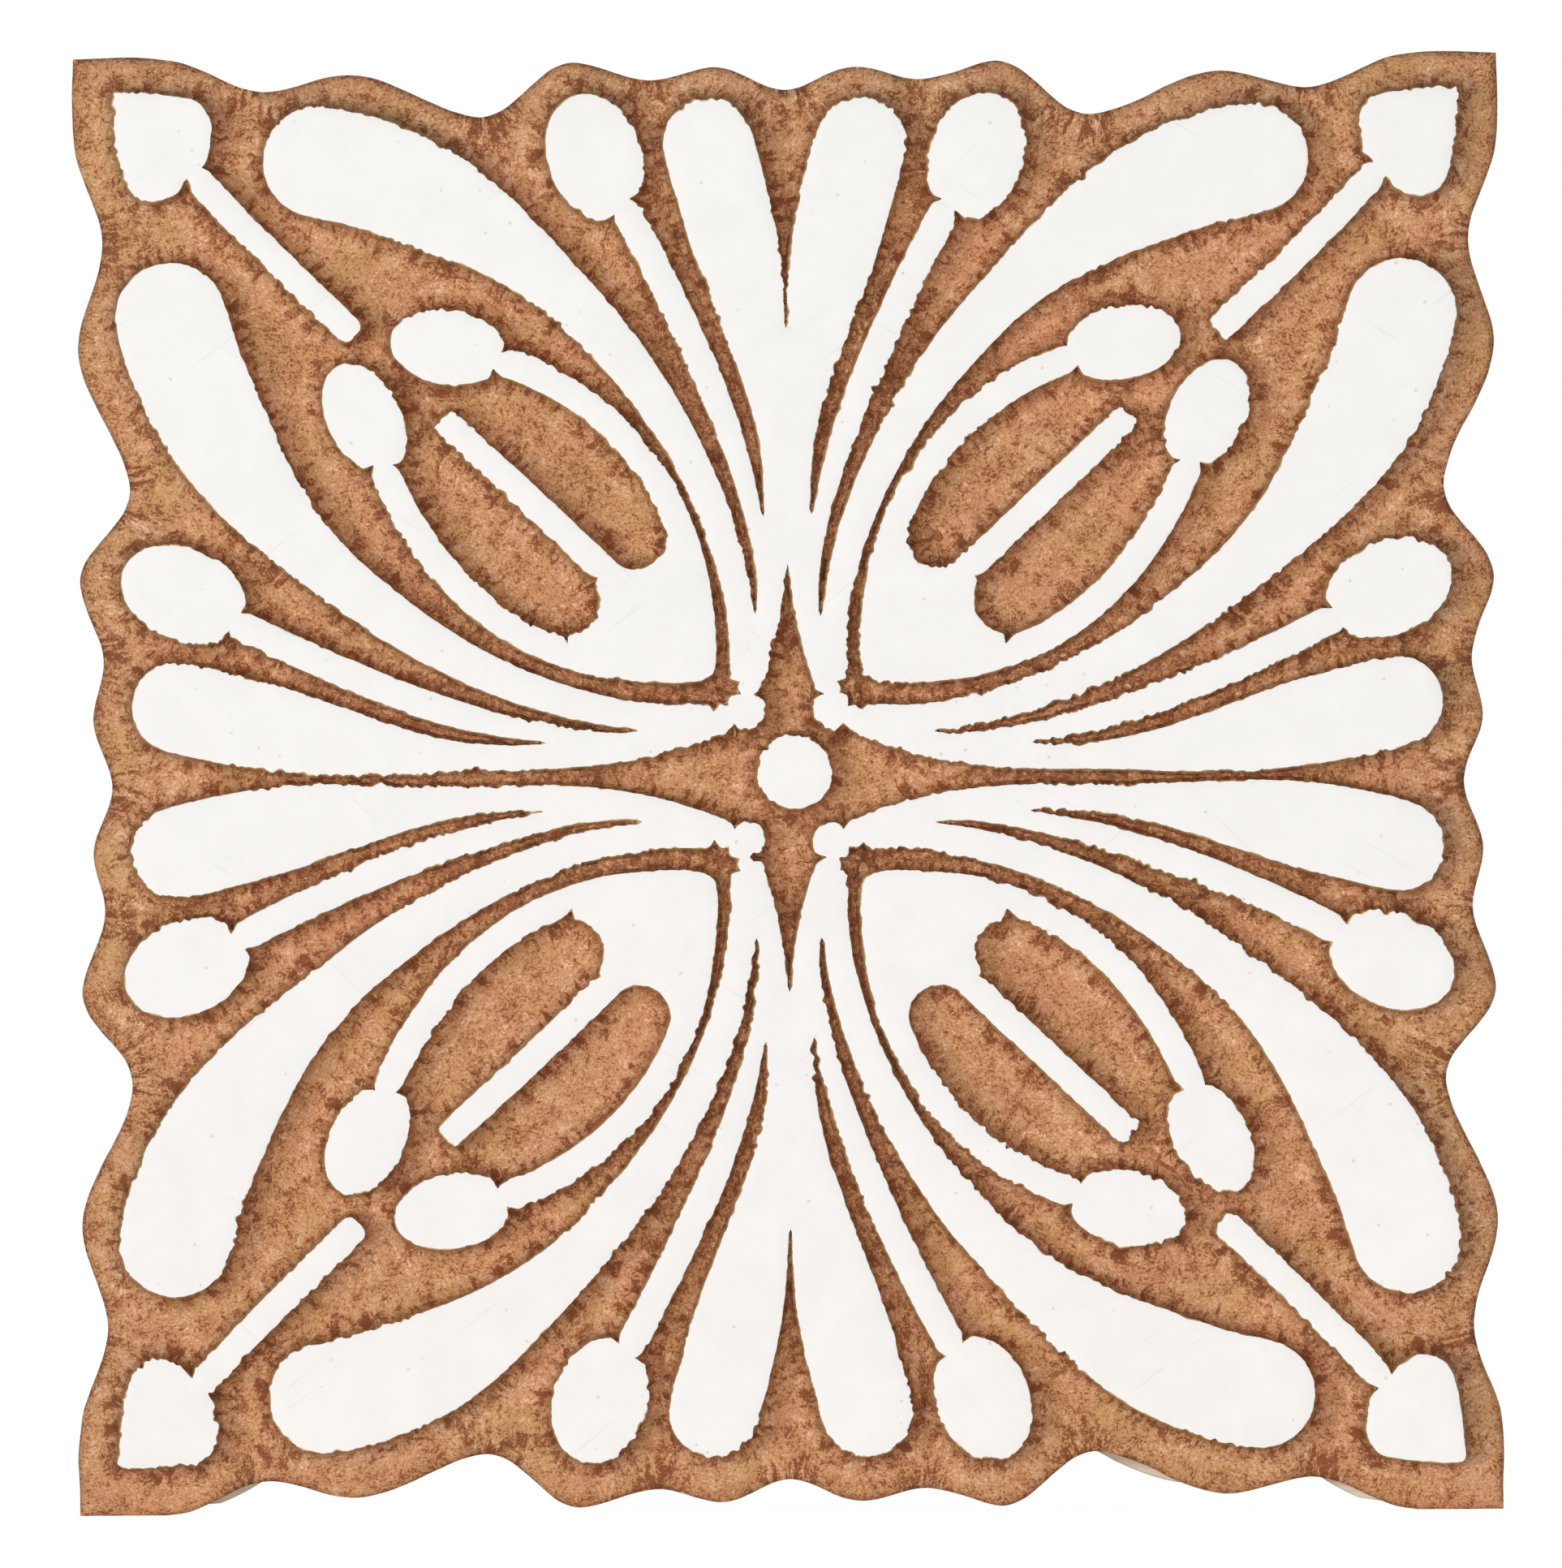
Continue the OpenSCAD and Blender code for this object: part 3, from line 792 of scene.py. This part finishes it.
def trim_strays(piece, cut):
    """Moves what the saw left outside the carved board's edge back towards it, and merges the
    points of the edge that are then too close."""
    rim = Nearest([outer_edge(cut)])
    bpy.ops.object.mode_set(mode="EDIT")
    bpy.ops.mesh.select_mode(type="VERT")
    bpy.ops.mesh.select_all(action="DESELECT")
    bpy.ops.object.mode_set(mode="OBJECT")
    for point in piece.data.vertices:
        place = np.array([[point.co.x, point.co.z]]) / MM
        over = rim.outside(place)[0]
        point.select = bool(over > -EDGE_BAND)
        if over > 0:
            near, _ = rim.of(place)
            point.co.x, point.co.z = (place[0] - min(over, STRAY_TRIM) * rim.normals[near[0]]) * MM
    bpy.ops.object.mode_set(mode="EDIT")
    bpy.ops.mesh.remove_doubles(threshold=EDGE_APART * MM)
    bpy.ops.object.mode_set(mode="OBJECT")


class BLOCK_OT_glue_boards(bpy.types.Operator):
    """Adds the two pale backing boards with their broken edges"""

    bl_idname = "printing_block.glue_boards"
    bl_label = "Glue the Backing Boards"

    def execute(self, context):
        settings = context.scene.printing_block
        for node, name, upright in (("core_board", "middle_board", False),
                                    ("back_board", "rear_board", True)):
            piece = copy_of(node, name)
            trim_strays(piece, settings.carving)
            modify(piece, "BEVEL", width=BOARD_BREAK * MM, segments=2, limit_method="ANGLE",
                   angle_limit=BREAK_TURN, use_clamp_overlap=False)
            finish_piece(piece, [node], pale_wood(name, settings.colours, upright), 35)
        return {"FINISHED"}


class BLOCK_OT_fit_handle(bpy.types.Operator):
    """Adds the worn handle with its finger coves"""

    bl_idname = "printing_block.fit_handle"
    bl_label = "Fit the Handle"

    def execute(self, context):
        colours = context.scene.printing_block.colours
        piece = copy_of("handle", "grip")
        modify(piece, "REMESH", mode="VOXEL", voxel_size=HANDLE_CELL * MM)
        modify(piece, "SMOOTH", factor=0.5, iterations=4)
        finish_piece(piece, ["handle"], oiled_wood(colours), 60)
        return {"FINISHED"}


class BLOCK_OT_drive_screws(bpy.types.Operator):
    """Adds the two slotted screws of the handle"""

    bl_idname = "printing_block.drive_screws"
    bl_label = "Drive the Screws"

    def execute(self, context):
        colours = context.scene.printing_block.colours
        piece = copy_of("handle_screws", "grip_screws")
        modify(piece, "BEVEL", width=SCREW_BREAK * MM, segments=2, limit_method="ANGLE",
               angle_limit=BREAK_TURN)
        finish_piece(piece, ["handle_screws"], dull_steel(colours), 40)
        return {"FINISHED"}


# Finishes

def linear(shown):
    """A colour's light, from how it shows on a screen."""
    shown = np.asarray(shown[:3], float)
    light = np.where(shown <= 0.04045, shown / 12.92, ((shown + 0.055) / 1.055) ** 2.4)
    return (*light.tolist(), 1.0)


class Nodes:
    """The nodes of a material or a world, with short ways to add to them."""

    def __init__(self, owner):
        owner.use_nodes = True
        self.tree = owner.node_tree

    def node(self, kind, inputs=None, **settings):
        """A new node with some inputs fed and some settings made."""
        made = self.tree.nodes.new("ShaderNode" + kind)
        for name, value in settings.items():
            setattr(made, name, value)
        for name, value in (inputs or {}).items():
            self.feed(made.inputs[name], value)
        return made

    def feed(self, socket, value):
        """Links a socket, or gives it a constant."""
        if isinstance(value, bpy.types.NodeSocket):
            self.tree.links.new(value, socket)
        else:
            socket.default_value = value


class Finish(Nodes):
    """A material under construction, with its patterns in mm on the object's own coordinates."""

    def __init__(self, name):
        self.material = bpy.data.materials.new(name)
        super().__init__(self.material)
        self.shader = self.tree.nodes["Principled BSDF"]
        place = self.node("TexCoord").outputs["Object"]
        self.mm = self.node("VectorMath", {0: place, 1: (1 / MM,) * 3}, operation="MULTIPLY").outputs[0]

    def set(self, **inputs):
        """Feeds inputs of the surface, by their names in small letters."""
        for name, value in inputs.items():
            self.feed(self.shader.inputs[name.replace("_", " ").title().replace("Ior", "IOR")], value)

    def stretched(self, scale, turn=(0, 0, 0), vector=None):
        """Places in mm, turned and then scaled along each axis."""
        return self.node("Mapping", {
            "Vector": vector or self.mm, "Rotation": turn, "Scale": tuple(1 / s for s in scale)},
            vector_type="TEXTURE").outputs[0]

    def warped(self, scale, distance):
        """Places in mm that wander by up to a distance."""
        shift = self.node("TexNoise", {"Vector": self.mm, "Scale": scale, "Detail": 1.0}).outputs["Color"]
        shift = self.node("VectorMath", {0: shift, 1: (0.5,) * 3}, operation="SUBTRACT").outputs[0]
        return self.node("VectorMath", {0: shift, 1: (2 * distance,) * 3, 2: self.mm},
                         operation="MULTIPLY_ADD").outputs[0]

    def noise(self, scale, detail=3.0, roughness=0.55, distortion=0.0, vector=None):
        return self.node("TexNoise", {
            "Vector": vector or self.mm, "Scale": scale, "Detail": detail, "Roughness": roughness,
            "Distortion": distortion}).outputs["Fac"]

    def specks(self, scale, channel, rare, radius):
        """1 on small round specks, one in each cell whose random colour is high enough."""
        cells = self.node("TexVoronoi", {"Vector": self.mm, "Scale": scale})
        chance = self.node("SeparateColor", {0: cells.outputs["Color"]}).outputs[channel]
        return self.times(self.span(cells.outputs["Distance"], *radius, 1.0, 0.0), self.span(chance, *rare))

    def edge_place(self, along, away, share):
        """Places for marks beside an edge: along it, and a share of the way from it."""
        return self.node("CombineXYZ", {
            0: self.attribute(along), 1: self.times(away, share)}).outputs[0]

    def attribute(self, name):
        return self.node("Attribute", attribute_name=name).outputs["Fac"]

    def math(self, operation, a, b=0.0, clamp=False):
        return self.node("Math", {0: a, 1: b}, operation=operation, use_clamp=clamp).outputs[0]

    def times(self, a, b):
        return self.math("MULTIPLY", a, b)

    def total(self, first, *others):
        """The sum of some values."""
        for other in others:
            first = self.math("ADD", first, other)
        return first

    def span(self, value, low, high, out_low=0.0, out_high=1.0):
        """A value carried smoothly from one range to another, and held at its ends."""
        return self.node("MapRange", {
            "Value": value, "From Min": low, "From Max": high, "To Min": out_low,
            "To Max": out_high}, interpolation_type="SMOOTHSTEP").outputs[0]

    def blend(self, share, a, b):
        return self.node("Mix", {0: share, 6: a, 7: b}, data_type="RGBA").outputs[2]

    def bump(self, height, strength, distance):
        """A normal that follows fine relief, with its height in mm."""
        return self.node("Bump", {
            "Height": height, "Strength": strength, "Distance": distance * MM}).outputs[0]


def gouge_marks_and_shade(f, wall, facing, patch):
    """Dark burnished gouge marks along the walls, as a change of tone; they also paint shade at the foot of
    the walls, shifted slightly by the side toward the key lamp.
    """
    # Painted shade: the marks gather towards the walls, and the facing term ties them to the lamp's side
    streak = f.total(f.noise(1.25, 3, 0.6, 0.5, f.edge_place("along_mm", wall, 0.45)),
                     f.times(facing, -0.02), f.times(patch, 0.5), f.times(wall, -0.12))
    return f.span(streak, 0.64, 0.75, 0.0, -0.31)


def comb_strokes(f, wall):
    """Rows of short dark strokes at the foot of some walls, as a change of tone."""
    strokes = f.span(f.noise(1.1, 1, 0.5, 0.3, f.edge_place("along_mm", wall, 0.3)), 0.54, 0.6, 0.0, -0.42)
    where = f.times(f.span(wall, 0.3, 2.4, 1.0, 0.0), f.span(f.noise(0.11, 2, 0.5), 0.36, 0.5))
    return f.times(strokes, where)


def torn_fibres(f, rim):
    """Dark and light tears in the notches of the outer edge, as a change of tone."""
    where = f.times(f.attribute("torn"), f.span(f.noise(0.45, 2, 0.5), 0.36, 0.52))
    tears = f.noise(1.7, 3, 0.75, 0.6, f.edge_place("rim_along_mm", rim, 0.2))
    return f.times(where, f.span(tears, 0.36, 0.64, -0.75, 0.3))


def carved_wood(colours):
    """Carved ground: fuzzy fibres and pores, dark gouge marks with painted shade by the walls, a pale fringe
    of fresh wood with painted light at the cut edges, and painted light and shade by place.
    """
    f = Finish("carved hardwood")
    wall, facing, rim = f.attribute("wall_mm"), f.attribute("facing"), f.attribute("rim_mm")
    curls = f.warped(0.5, 2.2)
    fibre = f.noise(1.0, 4, 0.62, 0.3, f.stretched((1.3, 4.4, 4.4), vector=curls))
    fuzz = f.noise(5.0, 3, 0.6, 0.6)
    mottle = f.noise(0.55, 5, 0.62, 0.5)
    patch = f.noise(0.14, 3, 0.5)
    plain = f.total(0.65, f.span(fibre, 0.3, 0.7, -0.24, 0.2), f.span(fuzz, 0.3, 0.7, -0.3, 0.18),
                    f.span(mottle, 0.3, 0.7, -0.14, 0.12), f.span(patch, 0.35, 0.65, -0.05, 0.05))

    # Marks of the tools and of the wood, each as a change of tone; the gouge marks also carry painted shade
    # along the walls
    scraped_and_shaded, tears = gouge_marks_and_shade(f, wall, facing, patch), torn_fibres(f, rim)
    blot = f.span(f.noise(1.0, 4, 0.62, 0.7), 0.54, 0.61, 0.0, -0.32)
    blot = f.times(blot, f.span(wall, 0.8, 2.4, 1.0, 0.5))
    hairs = f.noise(1.0, 2, 0.5, 0.0, f.stretched((0.5, 6, 6), vector=curls))
    tone = f.total(plain, scraped_and_shaded, tears, blot, comb_strokes(f, wall), f.span(hairs, 0.63, 0.7, 0.0, -0.26))

    # Tone by place: painted shade in narrow cuts, darker at the outer edge, painted light at the foot of the
    # walls, and darker on open ground
    # Painted light: the foot of each wall is lightened, fully on the side toward the key lamp and half as
    # much on the other side
    lit_foot = f.times(f.span(wall, 0.1, 1.0, 0.1, 0.0), f.span(facing, -0.3, 0.6, 1.0, 0.5))
    # Painted shade: narrow cuts are darkened by their narrowness
    tone = f.total(tone, f.times(f.attribute("narrow"), -0.3), f.span(rim, 0.0, 0.5, -0.06, 0.0),
                   lit_foot, f.span(wall, 1.2, 3.2, 0.0, -0.17))

    shade = f.blend(f.span(tone, 0.5, 1.0), linear(colours.ground), linear(colours.ground_light))
    hue = f.noise(0.16, 4, 0.6)
    shade = f.blend(f.span(hue, 0.46, 0.68, 0.0, 0.55), shade, linear(colours.ground_yellow))
    shade = f.blend(f.span(hue, 0.34, 0.5, 0.4, 0.0), shade, linear(colours.ground_red))
    shade = f.blend(f.span(tone, 0.0, 0.5, 1.0, 0.0), shade, linear(colours.ground_dark))
    pore = f.specks(1.3, 0, (0.55, 0.6), (0.08, 0.16))
    shade = f.blend(f.times(pore, 0.7), shade, linear(colours.ground_dark))
    crumb = f.specks(0.5, 1, (0.93, 0.95), (0.04, 0.07))
    shade = f.blend(f.times(crumb, 0.8), shade, linear(colours.white))
    # Painted light: a pale fringe of fresh wood at the foot of the walls, mostly on the side toward the key
    # lamp, where lit walls show
    raw_and_lit_fringe = f.times(f.span(wall, 0.04, 0.22, 0.6, 0.0), f.span(facing, -0.3, 0.4, 1.0, 0.1))
    shade = f.blend(raw_and_lit_fringe, shade, linear(colours.raw_and_lit_edge))
    height = f.total(fibre, f.times(fuzz, 0.5), f.times(pore, -1.0), scraped_and_shaded, tears)
    f.set(base_color=shade, roughness=0.9, specular_ior_level=0.15, normal=f.bump(height, 0.5, 0.15))
    return f.material


def white_coat(colours):
    """Thin matt white coat with faint scratches and grey flecks."""
    f = Finish("white coat")
    cloud = f.span(f.noise(0.25, 4), 0.3, 0.7)
    shade = f.blend(cloud, linear(np.array(colours.white) * 0.985), linear(colours.white))
    lines = []
    for slant, breadth in ((31, 2.6), (-38, 2.1), (44, 3.2)):
        turn, other_turn = (0, math.radians(slant), 0), (0, math.radians(3 * slant), 0)
        scratch = f.noise(1.0, 2, 0.5, 0.0, f.stretched((0.05, 1, breadth), turn))
        where = f.noise(0.13, 2, 0.5, 0.0, f.stretched((1, 1, 1), other_turn))
        lines.append(f.times(f.span(scratch, 0.67, 0.73), f.span(where, 0.52, 0.62)))
    line = f.total(*lines)
    faint = f.math("MULTIPLY", line, 0.3, clamp=True)
    shade = f.blend(faint, shade, linear(np.array(colours.white) * 0.88))
    fleck = f.specks(0.55, 1, (0.9, 0.92), (0.05, 0.12))
    shade = f.blend(f.times(fleck, 0.4), shade, linear(FLECK_GREY))
    height = f.math("SUBTRACT", f.noise(1.4, 4), line)
    f.set(base_color=shade, roughness=0.62, specular_ior_level=0.3, normal=f.bump(height, 0.15, 0.03))
    return f.material


def grain(f, across, along, turn):
    """Long wavy grain: a value from 0 to 1 that runs along the first axis after a turn."""
    lines = f.noise(1.0, 4, 0.6, 0.6, f.stretched((along, across, across), turn))
    fine = f.noise(1.0, 2, 0.5, 0.0, f.stretched((along * 2, across * 6, across * 6), turn))
    return f.math("ADD", f.times(lines, 0.7), f.times(fine, 0.3))


def pale_wood(name, colours, upright):
    """Sawn pale backing wood, its grain along X, or along Z when upright."""
    f = Finish(name.replace("_", " ") + " wood")
    turn = (0, math.radians(90 if upright else 0), 0)
    lines = grain(f, 0.45, 0.02, turn)
    shade = f.blend(f.span(lines, 0.36, 0.64), linear(colours.backing_dark), linear(colours.backing))
    grime = f.span(f.noise(0.09, 4, 0.6), 0.5, 0.75)
    shade = f.blend(f.times(grime, 0.14), shade, linear(colours.grip))
    saw = f.noise(1.0, 2, 0.5, 0.0, f.stretched((0.05, 2.2, 0.05), turn))
    f.set(base_color=shade, roughness=0.78, specular_ior_level=0.25,
          normal=f.bump(f.math("ADD", lines, f.times(saw, 0.5)), 0.4, 0.2))
    return f.material


def oiled_wood(colours):
    """Dark handle wood, polished by the hand."""
    f = Finish("oiled handle wood")
    lines = grain(f, 0.5, 0.025, (0, 0, 0))
    shade = f.blend(f.span(lines, 0.38, 0.62), linear(colours.grip_dark), linear(colours.grip))
    pores = f.noise(1.0, 2, 0.5, 0.0, f.stretched((0.3, 5, 5)))
    shade = f.blend(f.span(pores, 0.62, 0.72, 0.0, 0.5), shade, linear(colours.grip_dark))
    polish = f.span(f.noise(0.12, 3), 0.35, 0.7, 0.36, 0.55)
    f.set(base_color=shade, roughness=polish, normal=f.bump(f.math("SUBTRACT", lines, pores), 0.25, 0.12))
    return f.material


def dull_steel(colours):
    """Old screw steel, dulled and a little stained."""
    f = Finish("dull screw steel")
    stain = f.span(f.noise(0.7, 5, 0.6), 0.42, 0.68)
    shade = f.blend(stain, linear(colours.steel), linear(RUST))
    rough = f.span(f.noise(2.5, 3), 0.3, 0.7, 0.38, 0.6)
    f.set(base_color=shade, metallic=1.0, roughness=rough, normal=f.bump(f.noise(3.0, 4), 0.2, 0.05))
    return f.material


# Stage

def backdrop_share(nodes):
    """1 for rays that show the backdrop itself: from the camera, in gloss and through glass."""
    path = nodes.node("LightPath").outputs
    share = path["Is Camera Ray"]
    for name in ("Is Glossy Ray", "Is Transmission Ray"):
        share = nodes.node("Math", {0: share, 1: path[name]}, operation="MAXIMUM").outputs[0]
    return share


def white_world(strength):
    """White behind the block, and an even light of the given strength on it."""
    world = bpy.data.worlds.new("white studio")
    bpy.context.scene.world = world
    nodes = Nodes(world)
    light = nodes.tree.nodes["Background"].inputs
    level = nodes.node("MapRange", {"Value": backdrop_share(nodes), "To Min": strength, "To Max": 1.0})
    nodes.feed(light["Color"], (1, 1, 1, 1))
    nodes.feed(light["Strength"], level.outputs[0])


def floor_material():
    """White floor that still takes the block's shadow."""
    material = bpy.data.materials.new("white floor")
    nodes = Nodes(material)
    plain = nodes.tree.nodes["Principled BSDF"]
    for name, value in (("Base Color", FLOOR_GREY), ("Roughness", 1.0), ("Specular IOR Level", 0.0)):
        nodes.feed(plain.inputs[name], value)
    glow = nodes.node("Emission", {"Strength": FLOOR_GLOW})
    share = nodes.node("Math", {0: backdrop_share(nodes), 1: FLOOR_GLOW_SHARE}, operation="MULTIPLY")
    mixed = nodes.node("MixShader", {0: share.outputs[0], 1: plain.outputs[0], 2: glow.outputs[0]})
    nodes.feed(nodes.tree.nodes["Material Output"].inputs["Surface"], mixed.outputs[0])
    return material


class BLOCK_OT_set_stage(bpy.types.Operator):
    """Sets the floor, the soft lamps and the camera"""

    bl_idname = "printing_block.set_stage"
    bl_label = "Set the Stage"

    def execute(self, context):
        stage = context.scene.printing_block.stage
        context.scene.view_settings.view_transform = "Standard"
        white_world(stage.sky)
        bpy.ops.object.select_all(action="DESELECT")
        bpy.ops.mesh.primitive_plane_add(size=FLOOR_SIDE)
        floor = context.active_object
        floor.name = "floor"
        floor.data.materials.append(floor_material())
        floor.visible_shadow = False

        for name, place, across, power in LAMPS:
            bpy.ops.object.light_add(type="AREA", location=place)
            lamp = context.active_object
            lamp.name = name
            lamp.data.shape = "ELLIPSE"
            lamp.data.size, lamp.data.size_y = across
            lamp.data.energy = getattr(stage, power)
            lamp.rotation_euler = (MIDDLE - lamp.location).to_track_quat("-Z", "Y").to_euler()

        aim = Vector((MIDDLE.x + stage.aim_right, COAT_Y * MM, MIDDLE.z + stage.aim_up))
        bpy.ops.object.camera_add(location=aim - Vector((0, stage.distance, 0)))
        camera = context.active_object
        camera.rotation_mode = "QUATERNION"
        camera.rotation_quaternion = (
            Vector((0, 1, 0)).to_track_quat("-Z", "Y") @ Quaternion((0, 0, 1), -stage.roll))
        camera.data.lens = camera.data.sensor_width * stage.distance / stage.frame_h
        camera.data.clip_start = 0.01
        context.scene.camera = camera
        return {"FINISHED"}


class BLOCK_PT_panel(bpy.types.Panel):
    """Lists the steps that make the block"""

    bl_idname = "BLOCK_PT_panel"
    bl_label = "Printing Block"
    bl_space_type = "VIEW_3D"
    bl_region_type = "UI"
    bl_category = "Printing Block"

    def draw(self, context):
        settings = context.scene.printing_block
        for step in STEPS:
            self.layout.operator(step.bl_idname)
        for group in (settings.carving, settings.coat, settings.colours, settings.stage):
            box = self.layout.box()
            for name in group.__annotations__:
                box.prop(group, name)


STEPS = (
    BLOCK_OT_carve_face,
    BLOCK_OT_coat_lands,
    BLOCK_OT_glue_boards,
    BLOCK_OT_fit_handle,
    BLOCK_OT_drive_screws,
    BLOCK_OT_set_stage,
)
CLASSES = (
    CarvingSettings, CoatSettings, ColourSettings, StageSettings, BlockSettings, *STEPS, BLOCK_PT_panel)


def register():
    for cls in CLASSES:
        bpy.utils.register_class(cls)
    bpy.types.Scene.printing_block = PointerProperty(type=BlockSettings)


def unregister():
    del bpy.types.Scene.printing_block
    for cls in reversed(CLASSES):
        bpy.utils.unregister_class(cls)


def main():
    register()
    bpy.ops.printing_block.carve_face()
    bpy.ops.printing_block.coat_lands()
    bpy.ops.printing_block.glue_boards()
    bpy.ops.printing_block.fit_handle()
    bpy.ops.printing_block.drive_screws()
    bpy.ops.printing_block.set_stage()


if __name__ == "__main__":
    main()
